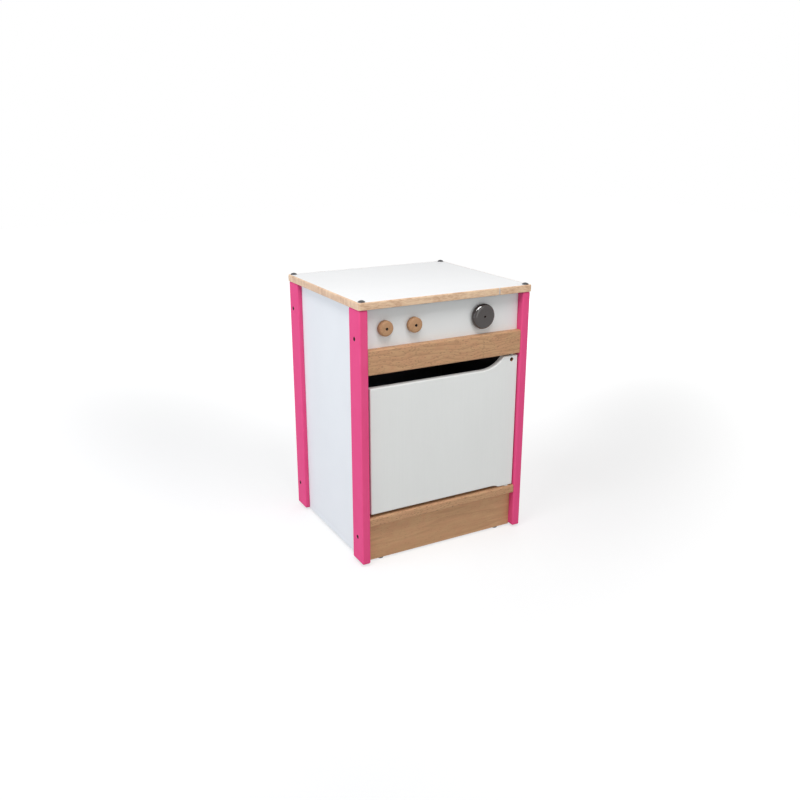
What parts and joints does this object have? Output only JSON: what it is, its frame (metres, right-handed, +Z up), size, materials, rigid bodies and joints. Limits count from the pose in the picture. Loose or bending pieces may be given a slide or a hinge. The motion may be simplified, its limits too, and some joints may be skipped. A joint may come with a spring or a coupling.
{
  "type": "toy dishwasher",
  "caption": "Wooden play-kitchen dishwasher on coloured corner posts, with a side-hung door, a finger gap, small wooden knobs and a large dial.",
  "frame": {"origin": "on the floor, under the middle of the unit: the bottom centre of its box", "axes": "+X to the right of someone who faces the unit, -Y out of its front, +Z up"},
  "size_m": [0.437, 0.3926, 0.6121],
  "materials": {
    "pink_lacquer": "pink lacquer over solid wood, satin",
    "white_laminate": "white laminate on board, satin",
    "white_lacquer": "white lacquer on plywood with the grain faintly showing",
    "black_laminate": "black laminate on board, matte",
    "beech": "clear matte lacquer on steamed beech",
    "pale_beech": "clear matte lacquer on pale beech",
    "dark_lacquer": "dark grey-brown gloss lacquer on turned wood",
    "dark_plastic": "dark grey moulded plastic",
    "black_steel": "blackened steel",
    "zinc_steel": "zinc-plated steel",
    "white_nylon": "natural white nylon"
  },
  "bodies": {
    "carcass": {"post_front_left": "pink_lacquer", "post_front_right": "pink_lacquer", "post_rear_left": "pink_lacquer", "post_rear_right": "pink_lacquer", "side_panel_left": "white_laminate", "side_panel_right": "white_laminate", "back_panel": "white_laminate", "base_panel": "black_laminate", "base_cleat_left": "beech", "base_cleat_right": "beech", "top_board": "white_laminate", "top_edge_band": "pale_beech", "control_panel": "white_laminate", "front_rail": "beech", "sill": "beech", "plinth": "beech", "pivot_bush_upper": "white_nylon", "pivot_bush_lower": "white_nylon", "door_catch": "dark_plastic", "knob_left_spacer": "white_nylon", "knob_left_washer": "white_nylon", "knob_right_spacer": "white_nylon", "knob_right_washer": "white_nylon", "dial_spacer": "white_nylon", "dial_washer": "white_nylon", "post_bolt_front_left_upper": "black_steel", "post_bolt_front_left_lower": "black_steel", "post_bolt_front_right_upper": "black_steel", "post_bolt_front_right_lower": "black_steel", "post_bolt_rear_left_upper": "black_steel", "post_bolt_rear_left_lower": "black_steel", "post_bolt_rear_right_upper": "black_steel", "post_bolt_rear_right_lower": "black_steel", "top_screw_front_left": "zinc_steel", "screw_cap_front_left": "dark_plastic", "top_screw_front_right": "zinc_steel", "screw_cap_front_right": "dark_plastic", "top_screw_rear_left": "zinc_steel", "screw_cap_rear_left": "dark_plastic", "top_screw_rear_right": "zinc_steel", "screw_cap_rear_right": "dark_plastic", "rail_screw_left": "zinc_steel", "rail_screw_right": "zinc_steel", "glide_front_left": "dark_plastic", "glide_front_right": "dark_plastic", "glide_rear_left": "dark_plastic", "glide_rear_right": "dark_plastic"},
    "door": {"door": "white_lacquer", "pivot_pin_upper": "black_steel", "pivot_pin_lower": "black_steel", "strike_plate": "zinc_steel"},
    "knob_left": {"knob_left": "beech", "knob_left_bolt": "black_steel"},
    "knob_right": {"knob_right": "beech", "knob_right_bolt": "black_steel"},
    "dial": {"dial": "dark_lacquer", "dial_bolt": "black_steel"}
  },
  "joints": [
    {"name": "door_hinge", "type": "hinge", "parent": "carcass", "child": "door", "pos_m": [0.17705, -0.18205, 0.1167], "axis": [0, 0, 1], "range_deg": [0, 130]},
    {"name": "knob_left_turn", "type": "hinge", "parent": "carcass", "child": "knob_left", "pos_m": [-0.15015, -0.17745, 0.5456], "axis": [0, 1, 0], "continuous": true},
    {"name": "knob_right_turn", "type": "hinge", "parent": "carcass", "child": "knob_right", "pos_m": [-0.07955, -0.17745, 0.5456], "axis": [0, 1, 0], "continuous": true},
    {"name": "dial_turn", "type": "hinge", "parent": "carcass", "child": "dial", "pos_m": [0.09545, -0.17745, 0.5456], "axis": [0, 1, 0], "continuous": true}
  ]
}
